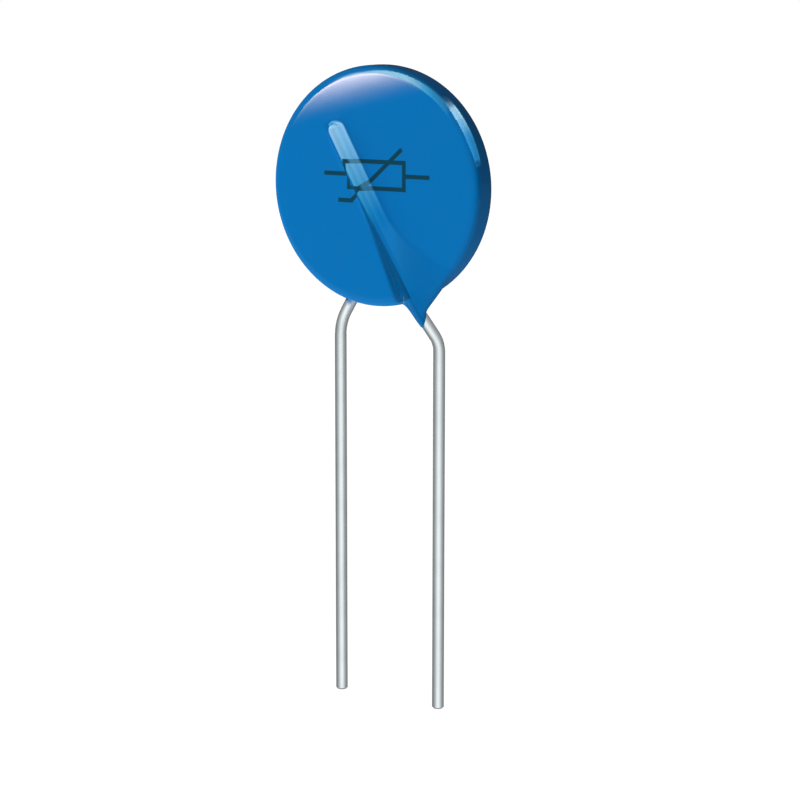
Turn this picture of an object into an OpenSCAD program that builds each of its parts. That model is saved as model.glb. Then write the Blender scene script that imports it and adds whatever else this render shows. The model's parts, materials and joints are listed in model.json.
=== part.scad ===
// Disc varistor with two radial wire leads, dipped in epoxy.
// Millimetres. +Z up, front face towards -Y. The origin is midway between the pins on the
// seating plane, which is the height at which the front pin becomes straight.

/* [Ceramic] */
// Diameter of the fired zinc oxide disc
ceramic_d = 19; // [17:0.1:21]
// Thickness of the disc
ceramic_t = 1.9; // [1.4:0.05:3]
// Rounding of the pressed edge
ceramic_edge = 0.2; // [0.05:0.05:0.4]
// How far the silver stops short of the ceramic's edge
electrode_margin = 0.7; // [0.4:0.05:1.2]
// Thickness of each fired silver layer
electrode_t = 0.04; // [0.02:0.01:0.1]

/* [Leads] */
// Diameter of the tinned copper wire
lead_d = 1; // [0.8:0.05:1.2]
// Distance between the pins along X
pin_pitch = 10; // [9:0.1:11]
// Distance between the pins along Y
pin_offset = 0.5; // [0:0.1:1.5]
// Length of each straight pin below the seating plane
pin_length = 30.6; // [20:0.1:40]
// Chamfer at the sheared tips
tip_chamfer = 0.12; // [0.05:0.01:0.2]
// How far beside the disc's centre each wire passes, along X
lead_cross = 1.1; // [0.5:0.1:1.5]
// How far each wire runs on above that crossing
lead_reach = 5.3; // [4:0.1:6.5]

/* [Front lead bends] */
// How far inside its pin the front wire leaves the disc's face, along X
front_run = 1.05; // [0.7:0.05:1.4]
// Height at which the front wire leaves the plane of the face
front_rise = 3.2; // [3:0.1:3.6]
// Bend radius above the front pin
front_bend_r = 2.4; // [1.8:0.1:2.6]
// Height at which the front pin becomes straight
front_straight_z = 0; // [0:0.1:0.3]

/* [Rear lead bends] */
// How far inside its pin the rear wire leaves the disc's face, along X
rear_run = 0.85; // [0.5:0.05:1.2]
// Height at which the rear wire leaves the plane of the face
rear_rise = 4.3; // [4:0.1:4.6]
// Bend radius above the rear pin
rear_bend_r = 4; // [3:0.1:4.5]
// Height at which the rear pin becomes straight
rear_straight_z = 0.6; // [0.3:0.1:0.8]
// Bend radius of both wires where they leave the face
entry_bend_r = 2; // [1:0.1:2.5]

/* [Solder] */
// Thickness of the solder between wire and silver
solder_film = 0.04; // [0.02:0.01:0.08]
// Half width of the solder where it wets the silver
solder_spread = 0.85; // [0.7:0.05:0.95]
// Height of the solder up the wire, as a share of the wire's diameter
solder_climb = 0.6; // [0.4:0.05:0.75]
// Bare silver left between the solder's lower end and the rim of the electrode
solder_stop = 0.8; // [0.5:0.1:2]

/* [Coating] */
// Epoxy over the flat faces
coat_face = 0.42; // [0.36:0.02:0.6]
// Epoxy around the ceramic's edge
coat_edge = 0.47; // [0.4:0.01:0.8]
// Radius of the rim's rounding towards the front face
front_round = 0.45; // [0.35:0.05:0.8]
// Radius of the rim's rounding towards the rear face
rear_round = 0.85; // [0.5:0.05:0.9]
// Epoxy over the wires on the disc
coat_wire = 0.17; // [0.12:0.01:0.2]
// Radius of the hollow where a ridge meets the face
ridge_fillet = 0.45; // [0.3:0.05:0.5]
// Distance of the disc's lowest edge above the seating plane
body_lift = 3.45; // [3.2:0.05:3.6]
// Place of the disc's centre beside the middle of the pins
body_shift = -0.7; // [-1.2:0.1:-0.4]

/* [Tails] */
// Epoxy around the wire where a tail ends
tail_lip = 0.07; // [0.04:0.01:0.12]
// How far the front tail runs past the place where the wire leaves the face
front_tail = 0.5; // [0.4:0.05:0.8]
// Reach of the front tail along the rim on its outer side
front_web_out = 5.8; // [4:0.1:6.5]
// Reach of the front tail along the rim on its inner side
front_web_in = 1.9; // [1.2:0.1:2.4]
// How much further the front tail runs on the wire's front than at its middle
front_slant = 0.6; // [0:0.05:0.65]
// Length of the flow of epoxy that fills the front ridge's outer side above the tail
front_flow = 8; // [6:0.5:10]
// How far the rear tail runs past the place where the wire leaves the face
rear_tail = 0.3; // [0.2:0.05:0.5]
// Reach of the rear tail along the rim, on both sides
rear_web = 1.2; // [1:0.1:1.6]
// Reach of the tails around the rim towards the other face
tail_depth = 2.2; // [1.6:0.1:2.3]

/* [Hidden] */
$fn = 72;

// The wire's place on the face
lead_r = lead_d / 2;
electrode_d = ceramic_d - 2 * electrode_margin;
seat_y = ceramic_t / 2 + electrode_t;
wire_y = seat_y + solder_film + lead_r;
// The coated disc
coat_r = ceramic_d / 2 + coat_edge;
coat_y = seat_y + coat_face;
disc_x = body_shift;
disc_z = body_lift + coat_r;
disc_c = [disc_x, 0, disc_z];
// The wire's axis above the silver, and the rounded ridge over it
wire_v = solder_film + lead_r;
ridge_r = lead_r + coat_wire;
// The face's height from the wire's axis
face_v = coat_face - wire_v;
// How deep the ridges start inside the disc, and how far above the rim each tail starts
sink = 0.45;
front_root = 0.25;
rear_root = 1.3;
// How far the sides of a tail's root lie behind the wire's axis
root_dip = 0.6;
// Stretches of one wire or ridge lap by this much, and the one inside is this much slimmer
joint_lap = 0.03;
joint_slack = 0.01;
tail_sides = 32;
tail_rings = 9;
flow_rings = 6;
// Reach of the flow beside the ridge at its upper end
flow_end = ridge_r + 0.1;
// Direction around the wire at which a tail hangs lowest, from its outer side
slant_turn = 140;
// Share of a tail's reach over which it leaves the rim along the rim's own direction
rim_lead = 0.45;

function unit(v) = v / norm(v);
// The side of the disc that a lead lies on: 1 for the front and -1 for the rear
function outward(side) = [0, -side, 0];
function wire_dir(from, to) = unit(to - from);
function turn_between(u, v) = acos(min(1, max(-1, u * v)));
function tangent_length(r, turn) = r * tan(turn / 2);

// Height of the corner above a pin, so that the bend ends where the pin becomes straight
function corner_z(across, rise, r, straight, n = 24) =
    n == 0 ? straight
    : let (z = corner_z(across, rise, r, straight, n - 1))
      straight + tangent_length(r, atan2(across, rise - z));

// Where a wire passes the disc's centre, where it leaves the face, and the corner above its pin
function cross_point(side) = [disc_x - side * lead_cross, -side * wire_y, disc_z];
function leave_point(side, run, rise) = [side * (pin_pitch / 2 - run), -side * wire_y, rise];
function corner_point(side, run, rise, r, straight) =
    [side * pin_pitch / 2, -side * pin_offset / 2,
     corner_z(norm([run, wire_y - pin_offset / 2]), rise, r, straight)];
function pin_tip(side) = [side * pin_pitch / 2, -side * pin_offset / 2, -pin_length];

// Distance along the wire from the crossing to the circle of radius r about the disc's centre
function reach_to(side, dir, r) =
    let (offset = cross_point(side) - [disc_x, -side * wire_y, disc_z], along = offset * dir)
    -along + sqrt(r * r - offset * offset + along * along);

// A wire's own directions: across it along the rim, and outward from the face
function across_dir(side, dir) = unit(cross(outward(side), dir));
function up_dir(side, dir) = cross(dir, across_dir(side, dir));

// Places children at p with the given directions for their x, y and z axes
module place(p, x, y, z) {
    multmatrix([[x[0], y[0], z[0], p[0]],
                [x[1], y[1], z[1], p[1]],
                [x[2], y[2], z[2], p[2]],
                [0, 0, 0, 1]])
        children();
}

// A straight stretch of wire, lapping into the bend at its lower end and, if lap is given, its upper
module rod(from, to, r, lap = 0) {
    z = wire_dir(from, to);
    x = unit(cross([0, 1, 0], z));
    place(from - z * lap, x, cross(z, x), z)
        cylinder(h = norm(to - from) + lap + joint_lap, r = r);
}

// The bend of a wire of radius r at a corner, from direction u to direction v
module bend(corner, u, v, bend_r, r) {
    turn = turn_between(u, v);
    start = corner - u * tangent_length(bend_r, turn);
    axis = unit(cross(u, v));
    inward = cross(axis, u);
    place(start + inward * bend_r, -inward, u, axis)
        rotate_extrude(angle = turn)
            translate([bend_r, 0])
                circle(r = r - joint_slack);
}

// A pin, from the place where the wire becomes straight to its sheared and chamfered tip
module pin(from, to, r) {
    length = norm(to - from) + joint_lap;
    place(to, [1, 0, 0], [0, 1, 0], [0, 0, 1])
        rotate_extrude()
            polygon([[0, 0], [r - tip_chamfer, 0], [r, tip_chamfer], [r, length], [0, length]]);
}

module lead_wire(side, run, rise, bend_r, straight) {
    leave = leave_point(side, run, rise);
    corner = corner_point(side, run, rise, bend_r, straight);
    end = pin_tip(side);
    u = wire_dir(cross_point(side), leave);
    v = wire_dir(leave, corner);
    w = [0, 0, -1];
    top = cross_point(side) - u * lead_reach;
    leave_cut = tangent_length(entry_bend_r, turn_between(u, v));
    corner_cut = tangent_length(bend_r, turn_between(v, w));
    rod(top, leave - u * leave_cut, lead_r);
    bend(leave, u, v, entry_bend_r, lead_r);
    rod(leave + v * leave_cut, corner - v * corner_cut, lead_r, joint_lap);
    bend(corner, v, w, bend_r, lead_r);
    pin(corner + w * corner_cut, end, lead_r);
}

// Half of the solder's section: it climbs the wire's side from the silver in a hollow curve.
// foot is how far it is carried on below the silver's face, and slack how much slimmer it is.
module solder_section(foot, slack = 0) {
    top = solder_film + solder_climb * lead_d;
    polygon([[0, -foot], [solder_spread - slack, -foot], [solder_spread - slack, 0],
             [solder_spread * 0.74 - slack, top * 0.22], [lead_r * 1.04 - slack, top * 0.55],
             [lead_r * 0.8 - slack, top - slack], [0, top - slack]]);
}

// The solder with the wire's space still filled, along the wire on the silver
module solder_form(side, run, rise, foot = 0) {
    dir = wire_dir(cross_point(side), leave_point(side, run, rise));
    top = cross_point(side) - dir * (lead_reach - coat_wire) - outward(side) * wire_v;
    bottom = reach_to(side, dir, electrode_d / 2 - solder_stop - solder_spread);
    x = across_dir(side, dir);
    y = up_dir(side, dir);
    length = bottom + lead_reach - coat_wire;
    place(top, x, y, dir) {
        linear_extrude(height = length) {
            solder_section(foot);
            mirror([1, 0])
                solder_section(foot);
        }
        for (end = [0, length])
            translate([0, 0, end])
                rotate([-90, 0, 0])
                    rotate_extrude()
                        solder_section(foot, joint_slack);
    }
}

// Section of a ridge over the wire: a round crest whose flanks run out in a hollow on the face.
// x is across the wire and y is height above the wire's axis. slack makes it that much slimmer.
module ridge_section(slack = 0) {
    hollow_v = face_v + ridge_fillet * 0.96;
    hollow_u = sqrt(pow(ridge_r + ridge_fillet, 2) - pow(hollow_v, 2)) - ridge_fillet * 0.04;
    shoulder_v = hollow_v * ridge_r / (ridge_r + ridge_fillet);
    circle(r = ridge_r - slack);
    difference() {
        translate([slack - hollow_u, face_v - sink])
            square([2 * (hollow_u - slack), sink + shoulder_v - face_v]);
        for (s = [-1, 1])
            translate([s * hollow_u, hollow_v])
                circle(r = ridge_fillet + slack);
    }
}

// The epoxy ridge over a wire, from its round upper end to the root of the tail
module ridge(side, run, rise, root) {
    dir = wire_dir(cross_point(side), leave_point(side, run, rise));
    start = lead_reach - coat_wire;
    top = cross_point(side) - dir * start;
    length = start + reach_to(side, dir, coat_r) - root / 2;
    place(top, across_dir(side, dir), up_dir(side, dir), dir) {
        linear_extrude(height = length)
            ridge_section();
        rotate([-90, 0, 0])
            rotate_extrude()
                intersection() {
                    ridge_section(joint_slack);
                    translate([0, -ridge_r])
                        square(4 * ridge_r);
                }
    }
}

// A point on a tail's hollow side, which runs from low on the wire to high on the rim
function tail_point(t, low, mid, near, high) =
    pow(1 - t, 3) * low + 3 * t * pow(1 - t, 2) * mid + 3 * t * t * (1 - t) * near + pow(t, 3) * high;

// Height of the epoxy over and beside a wire at x across it. It follows the round crest, leaves
// it at its own slope, and runs out on the face at reach.
function flow_height(x, reach) =
    let (tilt = atan(2 * (ridge_r - face_v) / reach),
         start = ridge_r * sin(tilt),
         left = (reach - abs(x)) / (reach - start))
    abs(x) < start ? sqrt(ridge_r * ridge_r - x * x) - 0.02
    : face_v - 0.02 + (ridge_r * cos(tilt) - face_v) * left * left;

// Place of a ring's point across the wire, closer together over the wire than beside it
function ring_x(turn, out, in) =
    let (c = cos(turn))
    (c > 0 ? out : in) * sign(c) * pow(abs(c), 1.6);

// One closed ring of a tail round the wire at the rim's place. lean is how far beside the wire
// the disc's centre lies.
function tail_ring(rim, u, ua, uo, out, in, root, lean) =
    [for (k = [0 : tail_sides - 1])
        let (turn = 360 * k / tail_sides,
             s = sin(turn),
             x = ring_x(turn, out, in),
             side_drop = (root_dip + face_v - 0.02) * pow(1 - s, 3),
             up = s > 0 ? flow_height(x, x > 0 ? out : in) - side_drop
                 : (tail_depth - root_dip) * s - root_dip,
             drop = x * (x - 2 * lean) / (2 * coat_r) + root * (1 - 0.4 * max(0, s)))
        rim + x * ua + up * uo - u * drop];

// The tail of epoxy that ran down a wire, and the flow above it. past is how far beyond the corner
// at leave it ends, and flow how far it goes up beside the ridge.
module tail(side, run, rise, bend_r, straight, past, web_out, web_in, slant, root, flow) {
    leave = leave_point(side, run, rise);
    u = wire_dir(cross_point(side), leave);
    v = wire_dir(leave, corner_point(side, run, rise, bend_r, straight));
    end = leave + v * past;
    rim = cross_point(side) + u * reach_to(side, u, coat_r);
    ua = across_dir(side, u);
    uo = up_dir(side, u);
    ea = across_dir(side, v);
    eo = up_dir(side, v);
    low_r = lead_r + tail_lip;
    lean = (disc_c - cross_point(side)) * ua;
    high = tail_ring(rim, u, ua, uo, web_out, web_in, root, lean);
    hanging = [for (i = [0 : tail_rings])
        let (t = i / tail_rings)
        [for (k = [0 : tail_sides - 1])
            let (turn = 360 * k / tail_sides,
                 c = cos(turn),
                 s = sin(turn),
                 x = ring_x(turn, web_out, web_in),
                 low = end + low_r * (c * ea + s * eo) + v * slant * cos(turn - slant_turn),
                 mid = leave + (ridge_r + tail_lip) * (c * ua + s * uo),
                 near = high[k] + rim_lead * x * (u * (x - lean) / coat_r - ua))
            tail_point(t, low, mid, near, high[k])]];
    flowing = [for (j = [1 : flow_rings])
        let (t = j / flow_rings,
             out = flow_end + (web_out - flow_end) * pow(1 - t, 1.5),
             in = flow_end + (web_in - flow_end) * pow(1 - t, 4))
        tail_ring(rim - u * flow * t, u, ua, uo, out, in, root, lean)];
    rings = flow > 0 ? concat(hanging, flowing) : hanging;
    top = rim - u * (root + (flow > 0 ? flow : 0));
    points = concat([for (ring = rings) each ring], [end, top]);
    low_centre = len(points) - 2;
    high_centre = len(points) - 1;
    last = (len(rings) - 1) * tail_sides;
    walls = [for (i = [0 : len(rings) - 2], k = [0 : tail_sides - 1])
        let (a = i * tail_sides + k,
             b = i * tail_sides + (k + 1) % tail_sides,
             c = a + tail_sides,
             d = b + tail_sides)
        each [[a, b, c], [b, d, c]]];
    caps = [for (k = [0 : tail_sides - 1])
        let (n = (k + 1) % tail_sides)
        each [[low_centre, n, k], [high_centre, last + k, last + n]]];
    polyhedron(points = points, faces = concat(walls, caps));
}

// The rounded disc of epoxy without ridges and tails
module coated_disc() {
    translate(disc_c)
        rotate([90, 0, 0])
            rotate_extrude() {
                translate([0, -coat_y])
                    square([coat_r - rear_round, 2 * coat_y]);
                square([coat_r - front_round, coat_y]);
                translate([0, rear_round - coat_y])
                    square([coat_r, 2 * coat_y - rear_round - front_round]);
                translate([coat_r - rear_round, rear_round - coat_y])
                    circle(r = rear_round);
                translate([coat_r - front_round, coat_y - front_round])
                    circle(r = front_round);
            }
}

module ceramic_form() {
    translate(disc_c)
        rotate([90, 0, 0])
            rotate_extrude() {
                half_t = ceramic_t / 2;
                polygon([[0, -half_t], [ceramic_d / 2 - ceramic_edge, -half_t],
                         [ceramic_d / 2, ceramic_edge - half_t], [ceramic_d / 2, half_t - ceramic_edge],
                         [ceramic_d / 2 - ceramic_edge, half_t], [0, half_t]]);
            }
}

module electrode_form(side) {
    translate(disc_c + outward(side) * ceramic_t / 2)
        rotate([side * 90, 0, 0])
            cylinder(h = electrode_t, d = electrode_d);
}

// All that the coating is dipped over
module core() {
    ceramic_form();
    translate(disc_c)
        rotate([90, 0, 0])
            cylinder(h = 2 * seat_y, d = electrode_d, center = true);
    solder_form(1, front_run, front_rise, ceramic_t / 4);
    solder_form(-1, rear_run, rear_rise, ceramic_t / 4);
    front_wire();
    rear_wire();
}

module front_wire() {
    lead_wire(1, front_run, front_rise, front_bend_r, front_straight_z);
}

module rear_wire() {
    lead_wire(-1, rear_run, rear_rise, rear_bend_r, rear_straight_z);
}

module ceramic_disc() {
    color("dimgray")
        ceramic_form();
}

module front_electrode() {
    color("lightgray")
        electrode_form(1);
}

module rear_electrode() {
    color("lightgray")
        electrode_form(-1);
}

module front_solder() {
    color("silver")
        difference() {
            solder_form(1, front_run, front_rise);
            front_wire();
        }
}

module rear_solder() {
    color("silver")
        difference() {
            solder_form(-1, rear_run, rear_rise);
            rear_wire();
        }
}

module front_lead() {
    color("gainsboro")
        front_wire();
}

module rear_lead() {
    color("gainsboro")
        rear_wire();
}

module coating() {
    color("#0a70b8")
        difference() {
            union() {
                coated_disc();
                ridge(1, front_run, front_rise, front_root);
                ridge(-1, rear_run, rear_rise, rear_root);
                tail(1, front_run, front_rise, front_bend_r, front_straight_z, front_tail,
                     front_web_out, front_web_in, front_slant, front_root, front_flow);
                tail(-1, rear_run, rear_rise, rear_bend_r, rear_straight_z, rear_tail,
                     rear_web, rear_web, 0, rear_root, 0);
            }
            core();
        }
}

ceramic_disc();
front_electrode();
rear_electrode();
front_solder();
rear_solder();
front_lead();
rear_lead();
coating();
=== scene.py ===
"""Disc varistor: dips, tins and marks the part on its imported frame, and lays the studio round it."""
import json
import math

import bpy
from bpy.props import FloatProperty, FloatVectorProperty, IntProperty, PointerProperty
from bpy.types import Operator, Panel, PropertyGroup
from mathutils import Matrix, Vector

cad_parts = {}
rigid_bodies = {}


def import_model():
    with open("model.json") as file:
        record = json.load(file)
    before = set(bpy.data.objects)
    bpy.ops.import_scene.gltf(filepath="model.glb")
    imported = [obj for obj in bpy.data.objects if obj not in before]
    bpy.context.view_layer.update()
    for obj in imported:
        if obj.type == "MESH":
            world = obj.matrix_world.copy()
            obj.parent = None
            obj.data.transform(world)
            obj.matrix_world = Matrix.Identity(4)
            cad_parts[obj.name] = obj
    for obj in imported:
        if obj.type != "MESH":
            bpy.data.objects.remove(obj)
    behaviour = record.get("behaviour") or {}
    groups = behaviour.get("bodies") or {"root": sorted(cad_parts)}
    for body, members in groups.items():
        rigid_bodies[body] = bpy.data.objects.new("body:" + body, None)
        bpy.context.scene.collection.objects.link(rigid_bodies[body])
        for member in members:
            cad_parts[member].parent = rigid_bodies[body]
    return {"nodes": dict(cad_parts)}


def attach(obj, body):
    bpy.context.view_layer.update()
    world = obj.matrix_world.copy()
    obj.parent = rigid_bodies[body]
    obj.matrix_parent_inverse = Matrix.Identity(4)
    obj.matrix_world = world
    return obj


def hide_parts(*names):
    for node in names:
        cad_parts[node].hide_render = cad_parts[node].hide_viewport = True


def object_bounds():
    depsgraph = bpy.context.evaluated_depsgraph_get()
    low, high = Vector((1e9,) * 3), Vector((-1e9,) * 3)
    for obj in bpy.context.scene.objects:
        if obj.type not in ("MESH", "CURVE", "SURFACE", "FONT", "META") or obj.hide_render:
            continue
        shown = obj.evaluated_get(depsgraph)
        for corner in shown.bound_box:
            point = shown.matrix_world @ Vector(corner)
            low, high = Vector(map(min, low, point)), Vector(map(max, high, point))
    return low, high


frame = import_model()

FRAME_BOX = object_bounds()
MM = 0.001

bl_info = {
    "name": "Disc varistor",
    "version": (1, 0, 0),
    "blender": (4, 5, 0),
    "location": "3D View > Sidebar > Varistor",
    "description": "Dips, tins and marks a disc varistor on its packed frame, and lays the studio round it",
    "category": "Object",
}

# Places on the part are in millimetres, and turns and leans in degrees. A ramp is written as the low and high
# end of its value, and where it doesn't go from 0 to 1, what it gives at each end.

# The disc's middle, and the plane of the coat's front face
DISC_MIDDLE = (-0.7, 0.0, 13.42)
FACE_Y = -1.41

# The front wire under the coat: its slant from straight down, where it crosses the disc's middle height, and
# the directions along it and across it
WIRE_SLANT = math.radians(29.367)
WIRE_CROSSING = (DISC_MIDDLE[0] - 1.1, -1.53, DISC_MIDDLE[2])
WIRE_ALONG = (math.sin(WIRE_SLANT), 0.0, -math.cos(WIRE_SLANT))
WIRE_ACROSS = (math.cos(WIRE_SLANT), 0.0, math.sin(WIRE_SLANT))

# How far merged points lie apart at most, and how far the coat's cores stay inside the wires, in metres
MERGED = 1e-6
CORE_INSET = 0.04 * MM

# How far forward of the disc's middle plane the coat's front side begins
FRONT_SIDE = (1.2, 1.4)
# The pale crest over the front wire, a painted highlight: its start along the wire, its middle across it,
# half its width, the softness of its edge, and how it fades along the wire
CREST_START = -5.15
CREST_SIDE = 0.32
CREST_HALF = 0.58
CREST_SOFT = 0.06
CREST_FADE = (-5.0, 3.6, 1, 0)
# The painted shade in the hollow beside the ridge ends at an edge across the wire, which drifts with each
# millimetre down it
HOLLOW_EDGE = (-0.24, -0.1, 1, 0)
HOLLOW_DRIFT = -0.035
# The painted shade on the ridge's flank in the hollow, across the wire and along it
FLANK_SIDE = (-1.0, -0.6, 0, 0.45)
FLANK_START = (-6.5, -5.5)
# The wedge of painted shade in the hollow: how far its shore lies from the wire, how soft the shore is, what
# each millimetre down the wire adds to both, how the wedge sets in along the wire, and how it ends from the
# disc's middle
WEDGE_SHORE = 0.45
WEDGE_SPREAD = 0.1
WEDGE_SOFT = 0.3
WEDGE_SOFTENING = 0.03
WEDGE_START = (-0.5, 2.0)
WEDGE_END = (9.7, 9.95, 1, 0)

# The ink mark is the plain circuit symbol of a varistor: its middle, its bars' width, the softness of their
# edges, and each bar's middle, length and turn
INK_MIDDLE = (-0.4, 0.0, 14.4)
INK_WIDTH = 0.36
INK_SOFT = 0.04
INK_BARS = (
    (0.0, 1.1, 5.7, 0),
    (0.0, -1.1, 5.7, 0),
    (-2.67, 0.0, 2.2, 90),
    (2.67, 0.0, 2.2, 90),
    (-3.9, 0.0, 2.4, 0),
    (3.9, 0.0, 2.4, 0),
    (0.0, 0.0, 6.6, 42),
    (-3.0, -2.2, 1.45, 0),
)

# The tent: its light side, as a direction from the disc
TENT_LIGHT_SIDE = (-0.81, -0.29, -0.52)
# What metal shows of the table and the tent by a ray's turn, from 0 straight away from the camera to 1
# straight back at it
TABLE_TONES = ((0.0, 0.22), (0.18, 0.235), (0.465, 0.31), (0.695, 0.48), (0.87, 0.74), (1.0, 1.15))
# The share of its tones that the tent shows: by the height above or below the horizon, and behind the part by
# the ray's turn
TENT_HEIGHT = (0.1, 0.45, 0, 0.2)
TENT_BEHIND = (0.4, 0.6, 0.2, 0)

# The table: its size in metres, its grey, and the glow that makes it white to the eye and keeps the shadow
TABLE_SIZE = 4.0
TABLE_GREY = (0.25, 0.25, 0.25)
TABLE_GLOW = 0.93
# The share of the table's tones that the coat shows on the camera's side of the part: by the ray's turn, and
# how it ends by the distance in metres
NEAR_SHARE = (0.6, 0.85, 0.5, 0.05)
NEAR_END = (0.20, 0.24, 1, 0.02)
# The share that it shows behind the part: on the face, and on the rim by the place from left to right
FACE_BEHIND = 0.02
FACE_TO_RIM = (9.2, 9.4)
RIM_BEHIND = (-3, 3, 0.5, 0.27)
# How the ray's turn leads from the share behind the part to the share on the camera's side
BEHIND_TO_NEAR = (0.35, 0.55)

# Where the coat ends on the wires: its lowest height over the rear wire, in the front tail and over the front
# wire behind that tail, the depths that part the last two, and the places that part the two wires
REAR_COAT_END = 3.5
FRONT_TAIL_END = 1.95
FRONT_COAT_END = 3.4
FRONT_TAIL_DEPTH = (-1.7, -1.6, FRONT_TAIL_END, FRONT_COAT_END)
BETWEEN_WIRES = (-2, 2)
COAT_END_SOFT = 0.1

# The card: its size in metres and its colour. The highlight that it gives has a lower edge on the face, from
# the disc's middle, which climbs to the right. Above it the light grows over a height, by a power.
CARD_SIZE = 30 * MM
CARD_COLOUR = (1.0, 0.84, 0.74)
HIGHLIGHT_HEIGHT = 6.37
HIGHLIGHT_CLIMB = 0.24
HIGHLIGHT_GROWTH = 3.3
HIGHLIGHT_POWER = 2.9
# How far from where the flat face would mirror the card a ray may leave the part, and how far past the band's
# inner edge the card's light reaches, by the turn from the top, since the band ends on the left
CARD_MISS = (0.8, 1.2, 1, 0)
CARD_PAST_BAND = (-30, -15, 0.55, 0)

# Half the width over which borders on the part fade, and the same for borders by the lean
BORDER_SOFT = 0.04
LEAN_SOFT = 4.0
# The rim that the band and the spindle light: the radius at which it begins, and how it ends outwards and
# downwards from the disc's middle
BAND_RADIUS = 9.3
RIM_END = (10.1, 10.3, 1, 0)
RIM_BOTTOM = (0.5, 1.5)
# The lean from the face at which the band ends: at the top, what each degree of turn adds, and the least
BAND_LEAN = 11.0
BAND_LEAN_CLIMB = 0.95
BAND_LEAN_LEAST = 7.0
# The band's light over its span of turns from the top, and its colours and how one goes over into the other
BAND_SPAN = (-30, 60)
BAND_TONES = ((0.0, 0.0), (0.08, 0.2), (0.14, 0.7), (0.2, 1.0), (0.52, 1.0), (0.59, 0.73), (0.66, 0.47),
              (0.73, 0.22), (0.81, 0.17), (0.87, 0.0))
BAND_COLOURS = ((0.66, 1.0, 0.75), (0.22, 1.0, 0.95))
BAND_CHANGE = (20, 33)

# The spindle beyond the band: the turn of its middle, half of the turns over which it is full, the lean at
# which it begins there, what each degree past them adds to that lean, and the depth at which it ends
SPINDLE_TURN = 58.0
SPINDLE_HALF = 8.0
SPINDLE_LEAN = 28.0
SPINDLE_TAPER = 2.2
SPINDLE_DEPTH = (-0.65, -0.45, 1, 0)
# The spindle's light over its span of turns and by the lean, and its colours and how the turn changes them
SPINDLE_SPAN = (40, 80)
SPINDLE_TONES = ((0.0, 0.0), (0.1, 0.1), (0.2, 0.9), (0.28, 1.0), (0.4, 0.85), (0.6, 0.6), (0.85, 0.55),
                 (0.95, 0.0))
SPINDLE_FALL = (60, 90, 1.15, 0.45)
SPINDLE_COLOURS = ((0.5, 0.87, 1.0), (0.05, 0.5, 1.0))
SPINDLE_CHANGE = (48, 66)

# The fill on the ridge's flank: its light by the lean and by the turn, and its colours and how one goes over
# into the other along the wire
FILL_RISE = (8, 45)
FILL_FALL = (50, 90, 1, 0.5)
FILL_LEFT = (-65, -45)
FILL_RIGHT = (80, 110, 1, 0)
FILL_COLOURS = ((0.45, 1.1, 1.4), (0.0, 0.4, 0.9))
FILL_CHANGE = (-5.5, 2.5)

# The horizon for the bare wires, by the height of the ray's direction, and what the hood hides from the front
# face: by the ray's turn, and by the depth at which the ray starts
HORIZON = (-0.03, 0.03)
HIDDEN_BEHIND = (0.35, 0.6, 1, 0)
FACE_DEPTH = (-1, 0, 1, 0)

# The camera: its sensor's width in millimetres, the photograph's side in pixels, and how far the picture's
# middle lies from the point looked at, in those pixels
SENSOR_WIDTH = 36
PHOTO_SIDE = 800
PHOTO_SHIFT = (10.72, 1.24)


class CoatSettings(PropertyGroup):
    """Sizes, colours and gloss of the dipped coat"""
    grain: FloatProperty(name="Grain", description="Edge length of the coat's mesh",
                         default=0.11 * MM, unit="LENGTH", precision=6)
    softening: IntProperty(name="Softening", description="Rounds of smoothing of the dipped surface",
                           default=10, min=0, max=60)
    front_cut: FloatProperty(name="Front cut", default=1.7 * MM, unit="LENGTH", precision=5,
                             description="Height at which the coat's core ends in the front wire")
    rear_cut: FloatProperty(name="Rear cut", default=3.3 * MM, unit="LENGTH", precision=5,
                            description="Height at which the coat's core ends in the rear wire")
    colour: FloatVectorProperty(name="Colour", description="Colour of the epoxy", subtype="COLOR",
                                default=(0.003, 0.171, 0.485), min=0, max=1)
    # This colour serves the epoxy's faint clouds and the painted shade beside the ridge
    cloud_and_shade_colour: FloatVectorProperty(name="Deep colour", description="Colour where the epoxy has pooled",
                                     subtype="COLOR", default=(0.0005, 0.075, 0.21), min=0, max=1)
    # This colour is the painted highlight on the crest over the front wire's end
    crest_highlight_colour: FloatVectorProperty(name="Thin colour", description="Colour where it is thin over a wire",
                                     subtype="COLOR", default=(0.245, 0.5, 0.77), min=0, max=1)
    ink_colour: FloatVectorProperty(name="Ink colour", description="Colour of the printed mark",
                                    subtype="COLOR", default=(0.006, 0.055, 0.09), min=0, max=1)
    roughness: FloatProperty(name="Roughness", description="Roughness of the cured epoxy", default=0.05,
                             min=0, max=1, subtype="FACTOR")


class WireSettings(PropertyGroup):
    """Finish of the tinned wires"""
    colour: FloatVectorProperty(name="Colour", description="Colour of the tinned wire", subtype="COLOR",
                                default=(0.75, 0.81, 0.83), min=0, max=1)
    roughness: FloatProperty(name="Roughness", description="Roughness of the tin", default=0.24, min=0, max=1,
                             subtype="FACTOR")


class InnerSettings(PropertyGroup):
    """Colours of the pieces inside the coat"""
    ceramic: FloatVectorProperty(name="Ceramic", description="Colour of the zinc oxide ceramic",
                                 subtype="COLOR", default=(0.12, 0.12, 0.13), min=0, max=1)
    silver: FloatVectorProperty(name="Silver", description="Colour of the fired silver", subtype="COLOR",
                                default=(0.78, 0.77, 0.74), min=0, max=1)
    solder: FloatVectorProperty(name="Solder", description="Colour of the tin solder", subtype="COLOR",
                                default=(0.66, 0.67, 0.68), min=0, max=1)


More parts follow.
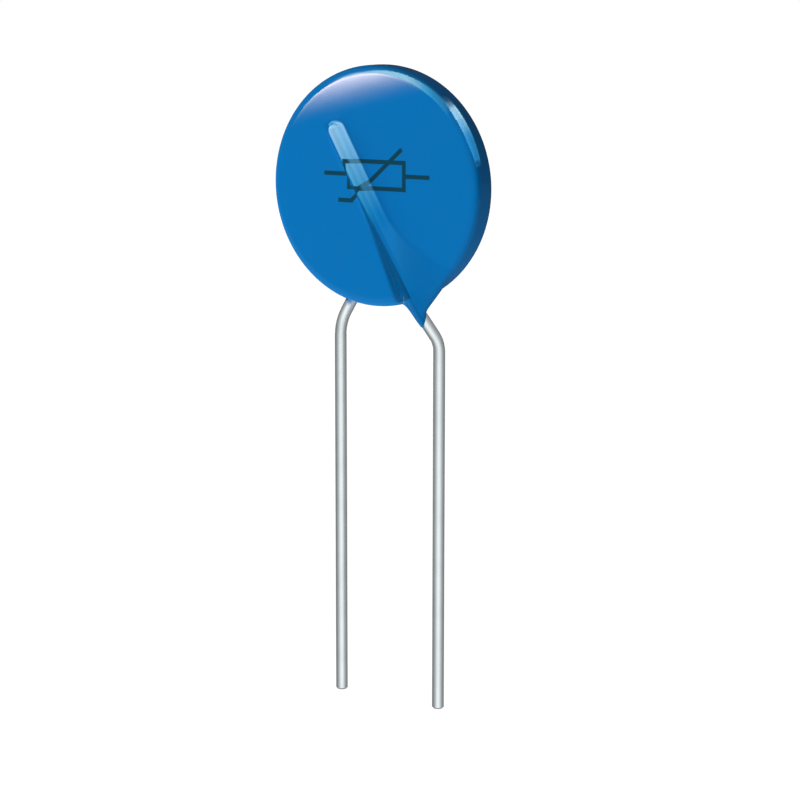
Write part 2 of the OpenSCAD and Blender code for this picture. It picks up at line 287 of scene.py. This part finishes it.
class StudioSettings(PropertyGroup):
    """Camera and lights of the studio"""
    azimuth: FloatProperty(name="Azimuth", description="Turn of the camera round the part",
                           default=math.radians(31.673), subtype="ANGLE")
    elevation: FloatProperty(name="Elevation", description="Height of the camera as an angle",
                             default=math.radians(10.183), subtype="ANGLE")
    distance: FloatProperty(name="Distance", description="Distance of the camera", default=201.15 * MM,
                            unit="LENGTH")
    aim: FloatProperty(name="Aim", description="Height that the camera looks at", default=-4.684 * MM,
                       unit="LENGTH", precision=5)
    lens: FloatProperty(name="Lens", description="Focal length", default=107.59, unit="CAMERA")
    level: FloatProperty(name="Level", description="Mean light of the tent on the part", default=0.95)
    slant: FloatProperty(name="Slant", description="How much lighter the tent's light side is", default=1.02)
    card_distance: FloatProperty(name="Card distance", default=20 * MM, unit="LENGTH",
                                 description="Distance of the card that the face mirrors")
    card_light: FloatProperty(name="Card light", default=25.0,
                              description="Light of the card where the highlight is brightest")
    hood_radius: FloatProperty(name="Hood radius", default=60 * MM, unit="LENGTH",
                               description="Radius of the hood that the rim and the wires mirror")
    band_light: FloatProperty(name="Band light", default=12.0,
                              description="Light of the band along the front rim")
    fill_light: FloatProperty(name="Fill light", default=6.5,
                              description="Light that the ridge's flank mirrors")
    spindle_light: FloatProperty(name="Spindle light", default=16.0,
                                 description="Light of the spindle on the right of the rim")


def select(*pieces):
    """Selects only these pieces, with the first one active."""
    bpy.ops.object.select_all(action="DESELECT")
    for piece in pieces:
        piece.select_set(True)
    bpy.context.view_layer.objects.active = pieces[0]


def copied(node, name):
    """A free copy of a frame node, with its loose triangles merged."""
    select(frame["nodes"][node])
    bpy.ops.object.duplicate()
    piece = bpy.context.active_object
    bpy.ops.object.parent_clear(type="CLEAR_KEEP_TRANSFORM")
    piece.name = name
    piece.data.name = name
    bpy.ops.object.mode_set(mode="EDIT")
    bpy.ops.mesh.select_all(action="SELECT")
    bpy.ops.mesh.remove_doubles(threshold=MERGED)
    bpy.ops.object.mode_set(mode="OBJECT")
    return piece


def core(lead, height):
    """A slightly slimmer copy of a wire above a height, which fills the coat round the wire."""
    piece = copied(lead, lead + "_core")
    bpy.ops.object.mode_set(mode="EDIT")
    bpy.ops.mesh.select_all(action="SELECT")
    bpy.ops.mesh.bisect(plane_co=(0, 0, height), plane_no=(0, 0, -1), use_fill=True, clear_outer=True)
    bpy.ops.mesh.select_all(action="SELECT")
    bpy.ops.transform.shrink_fatten(value=-CORE_INSET)
    bpy.ops.object.mode_set(mode="OBJECT")
    return piece


def set_inputs(tree, node, inputs):
    """Sets a shader node's inputs, or links them."""
    for key, value in inputs.items():
        socket = node.inputs[key]
        if isinstance(value, bpy.types.NodeSocket):
            tree.links.new(value, socket)
        elif socket.type == "RGBA" and len(value) == 3:
            socket.default_value = (*value, 1.0)
        else:
            socket.default_value = value


def add(tree, kind, inputs=None, **options):
    """Adds a shader node with these inputs and options."""
    node = tree.nodes.new(kind)
    for key, value in options.items():
        setattr(node, key, value)
    set_inputs(tree, node, inputs or {})
    return node


def empty_material(name):
    """A material whose tree has no nodes yet, and that tree."""
    material = bpy.data.materials.new(name)
    material.use_nodes = True
    material.node_tree.nodes.clear()
    return material, material.node_tree


def new_finish(name):
    """A material with a Principled shader, its tree and that shader."""
    material, tree = empty_material(name)
    shader = add(tree, "ShaderNodeBsdfPrincipled")
    add(tree, "ShaderNodeOutputMaterial", {"Surface": shader.outputs[0]})
    return material, tree, shader


def maths(tree, operation, *values):
    """A number worked out from numbers."""
    return add(tree, "ShaderNodeMath", dict(enumerate(values)), operation=operation).outputs[0]


def product(tree, *values):
    """The numbers multiplied with each other."""
    result = values[0]
    for value in values[1:]:
        result = maths(tree, "MULTIPLY", result, value)
    return result


def rest_of(tree, share):
    """What a share leaves of 1."""
    return maths(tree, "SUBTRACT", 1.0, share)


def vectors(tree, operation, *values):
    """A vector worked out from vectors."""
    return add(tree, "ShaderNodeVectorMath", dict(enumerate(values)), operation=operation).outputs[0]


def measure(tree, operation, *values):
    """A number worked out from vectors."""
    return add(tree, "ShaderNodeVectorMath", dict(enumerate(values)), operation=operation).outputs["Value"]


def scaled(tree, vector, factor):
    """A vector times a number."""
    return add(tree, "ShaderNodeVectorMath", {0: vector, "Scale": factor}, operation="SCALE").outputs[0]


def axes(tree, vector):
    """A vector's X, Y and Z."""
    return add(tree, "ShaderNodeSeparateXYZ", {0: vector}).outputs


def millimetres(tree):
    """Object coordinates in millimetres."""
    return scaled(tree, add(tree, "ShaderNodeTexCoord").outputs["Object"], 1 / MM)


def along(tree, place, middle, direction):
    """How far a place lies from the middle along a direction."""
    return measure(tree, "DOT_PRODUCT", vectors(tree, "SUBTRACT", place, middle), direction)


def ramp(tree, value, low, high, start=0.0, end=1.0, course="SMOOTHSTEP"):
    """Goes from start to end as the value goes from low to high, softly unless another course is named."""
    return add(tree, "ShaderNodeMapRange", {"Value": value, "From Min": low, "From Max": high,
                                            "To Min": start, "To Max": end},
               interpolation_type=course).outputs[0]


def straight_ramp(tree, value, low, high, start=0.0, end=1.0):
    """Goes evenly from start to end as the value goes from low to high."""
    return ramp(tree, value, low, high, start, end, "LINEAR")


def tone_ramp(tree, value, stops):
    """A grey that follows stops of place and tone."""
    node = add(tree, "ShaderNodeValToRGB", {0: value})
    band = node.color_ramp
    for _ in range(len(stops) - 2):
        band.elements.new(0.5)
    for element, (place, tone) in zip(band.elements, stops):
        element.position = place
        element.color = (tone, tone, tone, 1.0)
    return node.outputs[0]


def noise(tree, place, scale, detail=3.0, roughness=0.5):
    """A cloudy value about 0.5."""
    return add(tree, "ShaderNodeTexNoise", {"Vector": place, "Scale": scale, "Detail": detail,
                                            "Roughness": roughness}).outputs["Fac"]


def blended(tree, share, first, second):
    """A colour between two colours, which are the Mix node's inputs 6 and 7."""
    return add(tree, "ShaderNodeMix", {0: share, 6: first, 7: second}, data_type="RGBA").outputs[2]


def dimmed(colour, share):
    """A share of a colour's light."""
    return tuple(part * share for part in colour)


def bumped(tree, height, strength, distance, normal=None):
    """A normal that follows a height, on top of another normal if there is one."""
    inputs = {"Height": height, "Strength": strength, "Distance": distance}
    if normal:
        inputs["Normal"] = normal
    return add(tree, "ShaderNodeBump", inputs).outputs[0]


def from_middle(tree, place):
    """A place's X, Y and Z from the disc's middle, and its distance from the disc's axis."""
    offset = vectors(tree, "SUBTRACT", place, DISC_MIDDLE)
    return axes(tree, offset), measure(tree, "LENGTH", vectors(tree, "MULTIPLY", offset, (1, 0, 1)))


def ink_mark(tree, place):
    """1 on the bars of the ink mark."""
    mark = 0.0
    for x, z, length, turn in INK_BARS:
        middle = (INK_MIDDLE[0] + x, 0.0, INK_MIDDLE[2] + z)
        lean = math.radians(turn)
        run = maths(tree, "ABSOLUTE", along(tree, place, middle, (math.cos(lean), 0, math.sin(lean))))
        side = maths(tree, "ABSOLUTE", along(tree, place, middle, (-math.sin(lean), 0, math.cos(lean))))
        bar = product(tree, ramp(tree, run, length / 2 - INK_SOFT, length / 2 + INK_SOFT, 1, 0),
                      ramp(tree, side, INK_WIDTH / 2 - INK_SOFT, INK_WIDTH / 2 + INK_SOFT, 1, 0))
        mark = maths(tree, "MAXIMUM", mark, bar)
    return mark


def crest_highlight_share(tree, run, side, fade):
    """How strong the painted highlight is on the coat over the front wire's end."""
    beyond = maths(tree, "MAXIMUM", maths(tree, "SUBTRACT", CREST_START, run), 0.0)
    off = add(tree, "ShaderNodeCombineXYZ", {"X": maths(tree, "SUBTRACT", side, CREST_SIDE), "Y": beyond})
    off = measure(tree, "LENGTH", off.outputs[0])
    return product(tree, ramp(tree, off, CREST_HALF - CREST_SOFT, CREST_HALF + CREST_SOFT, 1, 0), fade)


def painted_shade_share(tree, place, run, side):
    """How strong the painted shade is beside the ridge: on its flank, and in the wedge that widens downwards.
    """
    low = maths(tree, "MAXIMUM", run, 0.0)
    inner = ramp(tree, maths(tree, "MULTIPLY_ADD", low, HOLLOW_DRIFT, side), *HOLLOW_EDGE)
    flank = product(tree, ramp(tree, side, *FLANK_SIDE), ramp(tree, run, *FLANK_START))
    shore = maths(tree, "ADD", side, maths(tree, "MULTIPLY_ADD", low, WEDGE_SPREAD, WEDGE_SHORE))
    shore = maths(tree, "DIVIDE", shore, maths(tree, "MULTIPLY_ADD", low, WEDGE_SOFTENING, WEDGE_SOFT))
    _, reach = from_middle(tree, place)
    wedge = product(tree, ramp(tree, shore, -1, 0), ramp(tree, run, *WEDGE_START),
                    ramp(tree, reach, *WEDGE_END))
    return product(tree, maths(tree, "MAXIMUM", flank, wedge), inner)


def epoxy_material(s):
    """Glossy dipped epoxy with its ink, a painted highlight on the front wire's end, and painted shade in the
    hollow beside it.
    """
    material, tree, shader = new_finish("blue_epoxy")
    place = millimetres(tree)
    run = along(tree, place, WIRE_CROSSING, WIRE_ALONG)
    side = along(tree, place, WIRE_CROSSING, WIRE_ACROSS)
    front = ramp(tree, along(tree, place, (0, 0, 0), (0, -1, 0)), *FRONT_SIDE)
    # Epoxy with faint clouds, and painted shade in the hollow beside the ridge
    cloud = noise(tree, place, scale=0.35)
    colour = blended(tree, maths(tree, "MULTIPLY", cloud, 0.12), s.colour, s.cloud_and_shade_colour)
    hollow = product(tree, painted_shade_share(tree, place, run, side), front)
    colour = blended(tree, hollow, colour, s.cloud_and_shade_colour)
    # The painted highlight on the crest fades downwards, its red first
    fade = straight_ramp(tree, run, *CREST_FADE)
    crest_colour = blended(tree, fade, (s.colour[0], s.crest_highlight_colour[1], s.crest_highlight_colour[2]), s.crest_highlight_colour)
    colour = blended(tree, product(tree, crest_highlight_share(tree, run, side, fade), front), colour, crest_colour)
    colour = blended(tree, product(tree, ink_mark(tree, place), front), colour, s.ink_colour)
    # Gloss with the soft sag and fine peel of a dipped coat
    sag = noise(tree, place, scale=0.5, detail=1.0)
    peel = noise(tree, place, scale=2.2, detail=2.0)
    normal = bumped(tree, sag, strength=0.02, distance=0.0002)
    normal = bumped(tree, peel, strength=0.01, distance=0.00003, normal=normal)
    roughness = ramp(tree, cloud, low=0.3, high=0.7, start=s.roughness - 0.01, end=s.roughness + 0.02)
    set_inputs(tree, shader, {"Base Color": colour, "Roughness": roughness, "IOR": 1.45, "Normal": normal})
    return material


def wire_material(s):
    """Bright tin over copper wire, drawn lengthwise."""
    material, tree, shader = new_finish("tinned_wire")
    place = millimetres(tree)
    drawn = add(tree, "ShaderNodeMapping", {"Vector": place, "Scale": (9.0, 9.0, 0.25)}).outputs[0]
    lines = noise(tree, drawn, scale=1.0, detail=4.0, roughness=0.6)
    dull = ramp(tree, noise(tree, place, scale=0.6), low=0.35, high=0.7, end=0.35)
    roughness = ramp(tree, lines, low=0.3, high=0.7, start=s.roughness - 0.04, end=s.roughness + 0.05)
    set_inputs(tree, shader, {"Base Color": blended(tree, dull, s.colour, dimmed(s.colour, 0.85)),
                              "Metallic": 1.0, "Roughness": roughness,
                              "Normal": bumped(tree, lines, strength=0.02, distance=0.00001)})
    return material


def ceramic_material(s):
    """Dark fired zinc oxide with a fine grain."""
    material, tree, shader = new_finish("zinc_oxide")
    grain = noise(tree, millimetres(tree), scale=14.0, detail=4.0, roughness=0.7)
    light = ramp(tree, grain, low=0.35, high=0.65)
    set_inputs(tree, shader, {"Base Color": blended(tree, light, dimmed(s.ceramic, 0.75), s.ceramic),
                              "Roughness": 0.75,
                              "Normal": bumped(tree, grain, strength=0.25, distance=0.00002)})
    return material


def silver_material(s):
    """Matt fired silver with the fine speckle of its paste."""
    material, tree, shader = new_finish("fired_silver")
    speck = noise(tree, millimetres(tree), scale=9.0, detail=4.0, roughness=0.6)
    light = ramp(tree, speck, low=0.35, high=0.65)
    set_inputs(tree, shader, {"Base Color": blended(tree, light, dimmed(s.silver, 0.9), s.silver),
                              "Metallic": 1.0, "Roughness": 0.5,
                              "Normal": bumped(tree, speck, strength=0.2, distance=0.00001)})
    return material


def solder_material(s):
    """Smooth tin solder, slightly frosted."""
    material, tree, shader = new_finish("solder")
    frost = noise(tree, millimetres(tree), scale=5.0, detail=5.0, roughness=0.6)
    dull = ramp(tree, frost, low=0.4, high=0.65)
    set_inputs(tree, shader, {"Base Color": blended(tree, dull, s.solder, dimmed(s.solder, 0.85)),
                              "Metallic": 1.0,
                              "Roughness": ramp(tree, frost, low=0.35, high=0.65, start=0.2, end=0.4),
                              "Normal": bumped(tree, frost, strength=0.15, distance=0.00002)})
    return material


def dress(piece, material):
    """Gives a piece this one material."""
    piece.data.materials.clear()
    piece.data.materials.append(material)


def dress_node(name, material):
    """Gives a frame node this material in each of its slots."""
    node = frame["nodes"][name]
    if not node.material_slots:
        raise RuntimeError(f"{name} has no material slot")
    for slot in node.material_slots:
        slot.material = material


class VARISTOR_OT_dip_coat(Operator):
    """Dips the part: the coat's outer skin, softened where it wets the wires"""
    bl_idname = "varistor.dip_coat"
    bl_label = "Dip the coat"

    def execute(self, context):
        s = context.scene.varistor_coat
        skin = copied("coating", "dipped_coat")
        cores = [core("front_lead", s.front_cut), core("rear_lead", s.rear_cut)]
        select(skin, *cores)
        bpy.ops.object.join()
        remesh = skin.modifiers.new("dip", "REMESH")
        remesh.mode = "VOXEL"
        remesh.voxel_size = s.grain
        bpy.ops.object.modifier_apply(modifier="dip")
        bpy.ops.object.mode_set(mode="EDIT")
        bpy.ops.mesh.select_all(action="SELECT")
        bpy.ops.mesh.vertices_smooth(factor=0.5, repeat=s.softening)
        bpy.ops.object.mode_set(mode="OBJECT")
        bpy.ops.object.shade_smooth()
        dress(skin, epoxy_material(s))
        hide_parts("coating")
        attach(skin, "root")
        return {"FINISHED"}


class VARISTOR_OT_tin_wires(Operator):
    """Tins the two wires"""
    bl_idname = "varistor.tin_wires"
    bl_label = "Tin the wires"

    def execute(self, context):
        tin = wire_material(context.scene.varistor_wire)
        for name in ("front_lead", "rear_lead"):
            dress_node(name, tin)
        return {"FINISHED"}


class VARISTOR_OT_finish_inside(Operator):
    """Gives the ceramic, its silver and the solder their finishes"""
    bl_idname = "varistor.finish_inside"
    bl_label = "Finish the inside"

    def execute(self, context):
        s = context.scene.varistor_inner
        dress_node("ceramic_disc", ceramic_material(s))
        silver = silver_material(s)
        solder = solder_material(s)
        for side in ("front", "rear"):
            dress_node(side + "_electrode", silver)
            dress_node(side + "_solder", solder)
        return {"FINISHED"}


def tent_light(tree, direction, s):
    """The tent's light on the part from a direction, lighter on one side."""
    lean = measure(tree, "DOT_PRODUCT", direction, TENT_LIGHT_SIDE)
    return maths(tree, "MAXIMUM", maths(tree, "MULTIPLY_ADD", lean, s.slant, s.level), 0.0)


def turn_to_camera(tree, direction, s):
    """1 for directions that point, seen from above, to the photograph's camera, down to 0 for those away."""
    level = vectors(tree, "NORMALIZE", vectors(tree, "MULTIPLY", direction, (1, 1, 0)))
    towards = (math.sin(s.azimuth), -math.cos(s.azimuth), 0)
    return maths(tree, "MULTIPLY_ADD", measure(tree, "DOT_PRODUCT", level, towards), 0.5, 0.5)


def turn_from_top(tree, x, z):
    """The turn from straight up towards +X, in degrees."""
    return maths(tree, "DEGREES", maths(tree, "ARCTAN2", x, z))


def outwards(tree):
    """The direction of the ray that arrives here."""
    return scaled(tree, add(tree, "ShaderNodeNewGeometry").outputs["Incoming"], -1.0)


def ray_start(tree):
    """Where the part was left by the ray that arrives here, in millimetres."""
    here = add(tree, "ShaderNodeNewGeometry").outputs
    back = scaled(tree, here["Incoming"], add(tree, "ShaderNodeLightPath").outputs["Ray Length"])
    return scaled(tree, vectors(tree, "ADD", back, here["Position"]), 1 / MM)


def bare_share(tree, start):
    """1 where a ray's start lies on a bare wire, 0 where it lies on the coat."""
    place = axes(tree, start)
    end = ramp(tree, place["X"], *BETWEEN_WIRES, REAR_COAT_END, ramp(tree, place["Y"], *FRONT_TAIL_DEPTH))
    return ramp(tree, maths(tree, "SUBTRACT", place["Z"], end), -COAT_END_SOFT, COAT_END_SOFT, 1, 0)


def show_by_ray(tree, output, cast, shown, white):
    """Gives the output one shader as light on the part, one for metal and gloss, and one for the camera."""
    path = add(tree, "ShaderNodeLightPath").outputs
    gloss = maths(tree, "MAXIMUM", path["Is Glossy Ray"], path["Is Transmission Ray"])
    lit = add(tree, "ShaderNodeMixShader", {0: gloss, 1: cast.outputs[0], 2: shown.outputs[0]})
    seen = add(tree, "ShaderNodeMixShader", {0: path["Is Camera Ray"], 1: lit.outputs[0],
                                             2: white.outputs[0]})
    add(tree, output, {"Surface": seen.outputs[0]})


def white_table(s):
    """White to the eye, tent light on the part, and the table's tones in metal and gloss."""
    material, tree = empty_material("white_table")
    place = add(tree, "ShaderNodeTexCoord").outputs["Object"]
    middle = tuple(part * MM for part in DISC_MIDDLE)
    direction = vectors(tree, "NORMALIZE", vectors(tree, "SUBTRACT", place, middle))
    cast = add(tree, "ShaderNodeEmission", {"Strength": tent_light(tree, direction, s)})
    # Bare wires show all of the table, and the coat shows less of it
    turn = turn_to_camera(tree, outwards(tree), s)
    reach = measure(tree, "LENGTH", vectors(tree, "MULTIPLY", place, (1, 1, 0)))
    near = product(tree, ramp(tree, reach, *NEAR_END), ramp(tree, turn, *NEAR_SHARE))
    start = ray_start(tree)
    spot, start_reach = from_middle(tree, start)
    behind = ramp(tree, start_reach, *FACE_TO_RIM, FACE_BEHIND, ramp(tree, spot["X"], *RIM_BEHIND))
    kept = ramp(tree, turn, *BEHIND_TO_NEAR, behind, near)
    share = maths(tree, "MAXIMUM", bare_share(tree, start), kept)
    tones = product(tree, tone_ramp(tree, turn, TABLE_TONES), share)
    shown = add(tree, "ShaderNodeEmission", {"Strength": tones})
    # White with the part's shadow
    paper = add(tree, "ShaderNodeBsdfDiffuse", {"Color": TABLE_GREY})
    glow = add(tree, "ShaderNodeEmission", {"Strength": TABLE_GLOW})
    white = add(tree, "ShaderNodeAddShader", {0: paper.outputs[0], 1: glow.outputs[0]})
    show_by_ray(tree, "ShaderNodeOutputMaterial", cast, shown, white)
    material.cycles.emission_sampling = "NONE"
    return material


def white_tent(s):
    """The world: white to the eye, tent light on the part, and dim at the horizon in metal and gloss."""
    world = bpy.data.worlds.new("white_tent")
    world.use_nodes = True
    tree = world.node_tree
    tree.nodes.clear()
    direction = add(tree, "ShaderNodeTexCoord").outputs["Generated"]
    cast = add(tree, "ShaderNodeBackground", {"Strength": tent_light(tree, direction, s)})
    height = maths(tree, "ABSOLUTE", axes(tree, direction)["Z"])
    turn = turn_to_camera(tree, direction, s)
    share = maths(tree, "MAXIMUM", ramp(tree, height, *TENT_HEIGHT), ramp(tree, turn, *TENT_BEHIND))
    tones = product(tree, tone_ramp(tree, turn, TABLE_TONES), share)
    shown = add(tree, "ShaderNodeBackground", {"Strength": tones})
    white = add(tree, "ShaderNodeBackground", {"Color": (1, 1, 1), "Strength": 1.0})
    show_by_ray(tree, "ShaderNodeOutputWorld", cast, shown, white)
    world.cycles.sampling_method = "NONE"
    return world


def finish_panel(material, tree, panels, clear=(1, 1, 1)):
    """Adds the light of each panel, a colour and a strength, to a clear shader."""
    shader = add(tree, "ShaderNodeBsdfTransparent", {"Color": clear})
    for colour, strength in panels:
        light = add(tree, "ShaderNodeEmission", {"Color": colour, "Strength": strength})
        shader = add(tree, "ShaderNodeAddShader", {0: shader.outputs[0], 1: light.outputs[0]})
    add(tree, "ShaderNodeOutputMaterial", {"Surface": shader.outputs[0]})
    material.cycles.emission_sampling = "NONE"
    return material


def card_material(s, mirrored_eye):
    """The card, drawn as the flat face mirrors it: light that grows upwards from its leaning edge."""
    material, tree = empty_material("card")
    here = add(tree, "ShaderNodeNewGeometry").outputs["Position"]
    offset = vectors(tree, "SUBTRACT", here, mirrored_eye)
    share = maths(tree, "DIVIDE", FACE_Y * MM - mirrored_eye.y, axes(tree, offset)["Y"])
    mirror = scaled(tree, vectors(tree, "ADD", scaled(tree, offset, share), mirrored_eye), 1 / MM)
    spot, _ = from_middle(tree, mirror)
    height = maths(tree, "MULTIPLY_ADD", spot["X"], -HIGHLIGHT_CLIMB, spot["Z"])
    height = maths(tree, "SUBTRACT", height, HIGHLIGHT_HEIGHT)
    glow = maths(tree, "POWER", straight_ramp(tree, height, 0, HIGHLIGHT_GROWTH), HIGHLIGHT_POWER)
    # Only the flat face shows the card, where it has no band before it
    start = ray_start(tree)
    miss = ramp(tree, measure(tree, "DISTANCE", mirror, start), *CARD_MISS)
    _, reach = from_middle(tree, start)
    turn = turn_from_top(tree, spot["X"], spot["Z"])
    limit = maths(tree, "ADD", ramp(tree, turn, *CARD_PAST_BAND), BAND_RADIUS)
    within = ramp(tree, maths(tree, "SUBTRACT", reach, limit), -BORDER_SOFT, BORDER_SOFT, 1, 0)
    return finish_panel(material, tree, [(CARD_COLOUR, product(tree, glow, miss, within, s.card_light))])


def band_panel(tree, s, turn, lean, on_rim):
    """The band along the top of the front rim."""
    end = maths(tree, "MULTIPLY_ADD", turn, BAND_LEAN_CLIMB, BAND_LEAN)
    end = maths(tree, "MAXIMUM", end, BAND_LEAN_LEAST)
    tone = tone_ramp(tree, straight_ramp(tree, turn, *BAND_SPAN), BAND_TONES)
    light = product(tree, ramp(tree, maths(tree, "SUBTRACT", lean, end), -LEAN_SOFT, LEAN_SOFT, 1, 0), tone,
                    on_rim, s.band_light)
    return blended(tree, ramp(tree, turn, *BAND_CHANGE), *BAND_COLOURS), light


def spindle_panel(tree, s, turn, lean, spot, on_rim):
    """The spindle on the right of the rim, beyond the band."""
    away = maths(tree, "ABSOLUTE", maths(tree, "SUBTRACT", turn, SPINDLE_TURN))
    past = maths(tree, "MAXIMUM", maths(tree, "SUBTRACT", away, SPINDLE_HALF), 0.0)
    first = maths(tree, "MULTIPLY_ADD", past, SPINDLE_TAPER, SPINDLE_LEAN)
    tone = tone_ramp(tree, straight_ramp(tree, turn, *SPINDLE_SPAN), SPINDLE_TONES)
    light = product(tree, ramp(tree, maths(tree, "SUBTRACT", lean, first), -LEAN_SOFT, LEAN_SOFT),
                    ramp(tree, spot["Y"], *SPINDLE_DEPTH), tone, straight_ramp(tree, lean, *SPINDLE_FALL),
                    on_rim, s.spindle_light)
    return blended(tree, ramp(tree, turn, *SPINDLE_CHANGE), *SPINDLE_COLOURS), light


def fill_panel(tree, s, turn, lean, start, on_face):
    """The fill on the ridge's flank."""
    light = product(tree, ramp(tree, lean, *FILL_RISE), ramp(tree, lean, *FILL_FALL),
                    ramp(tree, turn, *FILL_LEFT), ramp(tree, turn, *FILL_RIGHT), on_face, s.fill_light)
    run = along(tree, start, WIRE_CROSSING, WIRE_ALONG)
    return blended(tree, straight_ramp(tree, run, *FILL_CHANGE), *FILL_COLOURS), light


def hood_material(s, towards):
    """The hood round the part: a band along the top of the front rim, a spindle on its right, a fill for the
    ridge, and the sky that the bare wires show.

    The panels are placed by the normal that mirrors them to the photograph's camera: its turn round the disc
    from the top and its lean from the face."""
    material, tree = empty_material("hood")
    start = ray_start(tree)
    spot, reach = from_middle(tree, start)
    on_face = ramp(tree, reach, BAND_RADIUS - BORDER_SOFT, BAND_RADIUS + BORDER_SOFT, 1, 0)
    on_rim = product(tree, rest_of(tree, on_face), ramp(tree, reach, *RIM_END),
                     ramp(tree, spot["Z"], *RIM_BOTTOM))
    ray = outwards(tree)
    normal = axes(tree, vectors(tree, "NORMALIZE", vectors(tree, "ADD", ray, towards)))
    turn = turn_from_top(tree, normal["X"], normal["Z"])
    lean = maths(tree, "DEGREES", maths(tree, "ARCCOSINE", maths(tree, "MULTIPLY", normal["Y"], -1.0)))
    # The bare wires show the sky above the horizon, and the front face nothing of what lies behind the part
    ray_turn = turn_to_camera(tree, ray, s)
    sky = product(tree, tone_ramp(tree, ray_turn, TABLE_TONES), ramp(tree, axes(tree, ray)["Z"], *HORIZON),
                  bare_share(tree, start))
    hidden = product(tree, ramp(tree, ray_turn, *HIDDEN_BEHIND), on_face, ramp(tree, spot["Y"], *FACE_DEPTH))
    panels = [band_panel(tree, s, turn, lean, on_rim), spindle_panel(tree, s, turn, lean, spot, on_rim),
              fill_panel(tree, s, turn, lean, start, on_face), ((1, 1, 1), sky)]
    return finish_panel(material, tree, panels, rest_of(tree, hidden))


def lay_table(s):
    """Lays the table at the height of the pins' ends."""
    bpy.ops.object.select_all(action="DESELECT")
    bpy.ops.mesh.primitive_plane_add(size=TABLE_SIZE, location=(0, 0, FRAME_BOX[0][2]))
    table = bpy.context.active_object
    table.name = "table"
    bpy.ops.object.transform_apply(location=True, rotation=True, scale=True)
    dress(table, white_table(s))


def hang(panel, name, material):
    """Names and dresses a panel that only gloss shows."""
    panel.name = name
    dress(panel, material)
    panel.visible_camera = False
    panel.visible_diffuse = False
    panel.visible_shadow = False
    panel.visible_transmission = False


def hang_card(s, eye):
    """Hangs the card that the face mirrors to the camera above its middle."""
    spot = Vector((DISC_MIDDLE[0], FACE_Y, DISC_MIDDLE[2] + HIGHLIGHT_HEIGHT)) * MM
    mirrored_eye = Vector((eye.x, 2 * spot.y - eye.y, eye.z))
    beam = (spot - mirrored_eye).normalized()
    bpy.ops.object.select_all(action="DESELECT")
    bpy.ops.mesh.primitive_plane_add(size=CARD_SIZE, location=spot + beam * s.card_distance,
                                     rotation=beam.to_track_quat("Z", "Y").to_euler())
    hang(bpy.context.active_object, "card", card_material(s, mirrored_eye))


def hang_hood(s, eye):
    """Hangs the hood round the part."""
    middle = Vector(DISC_MIDDLE) * MM
    bpy.ops.object.select_all(action="DESELECT")
    bpy.ops.mesh.primitive_uv_sphere_add(segments=48, ring_count=24, radius=s.hood_radius, location=middle)
    hang(bpy.context.active_object, "hood", hood_material(s, (eye - middle).normalized()))


def place_camera(scene, s, eye, away):
    """Places the camera at the eye, looking against the direction that leads away from the part."""
    data = bpy.data.cameras.new("camera")
    data.lens = s.lens
    data.sensor_width = SENSOR_WIDTH
    data.shift_x = PHOTO_SHIFT[0] / PHOTO_SIDE
    data.shift_y = PHOTO_SHIFT[1] / PHOTO_SIDE
    data.clip_start = 0.01
    data.clip_end = 20
    camera = bpy.data.objects.new("camera", data)
    scene.collection.objects.link(camera)
    camera.location = eye
    camera.rotation_euler = (-away).to_track_quat("-Z", "Y").to_euler()
    scene.camera = camera


class VARISTOR_OT_lay_studio(Operator):
    """Lays the white table, the light tent, the card, the hood and the camera"""
    bl_idname = "varistor.lay_studio"
    bl_label = "Lay the studio"

    def execute(self, context):
        scene = context.scene
        s = scene.varistor_studio
        away = Vector((math.sin(s.azimuth) * math.cos(s.elevation),
                       -math.cos(s.azimuth) * math.cos(s.elevation), math.sin(s.elevation)))
        eye = Vector((0, 0, s.aim)) + away * s.distance
        lay_table(s)
        scene.world = white_tent(s)
        hang_card(s, eye)
        hang_hood(s, eye)
        place_camera(scene, s, eye, away)
        scene.view_settings.view_transform = "Standard"
        return {"FINISHED"}


STEPS = (
    ("varistor_coat", CoatSettings, VARISTOR_OT_dip_coat),
    ("varistor_wire", WireSettings, VARISTOR_OT_tin_wires),
    ("varistor_inner", InnerSettings, VARISTOR_OT_finish_inside),
    ("varistor_studio", StudioSettings, VARISTOR_OT_lay_studio),
)


class VARISTOR_PT_build(Panel):
    """Lists the steps that finish the varistor"""
    bl_idname = "VARISTOR_PT_build"
    bl_label = "Disc varistor"
    bl_space_type = "VIEW_3D"
    bl_region_type = "UI"
    bl_category = "Varistor"

    def draw(self, context):
        for name, _, step in STEPS:
            box = self.layout.box()
            settings = getattr(context.scene, name)
            for key in settings.bl_rna.properties.keys():
                if key not in ("rna_type", "name"):
                    box.prop(settings, key)
            box.operator(step.bl_idname)


def register():
    for name, group, step in STEPS:
        bpy.utils.register_class(group)
        bpy.utils.register_class(step)
        setattr(bpy.types.Scene, name, PointerProperty(type=group))
    bpy.utils.register_class(VARISTOR_PT_build)


def unregister():
    bpy.utils.unregister_class(VARISTOR_PT_build)
    for name, group, step in reversed(STEPS):
        delattr(bpy.types.Scene, name)
        bpy.utils.unregister_class(step)
        bpy.utils.unregister_class(group)


def main():
    register()
    bpy.ops.varistor.dip_coat()
    bpy.ops.varistor.tin_wires()
    bpy.ops.varistor.finish_inside()
    bpy.ops.varistor.lay_studio()


if __name__ == "__main__":
    main()
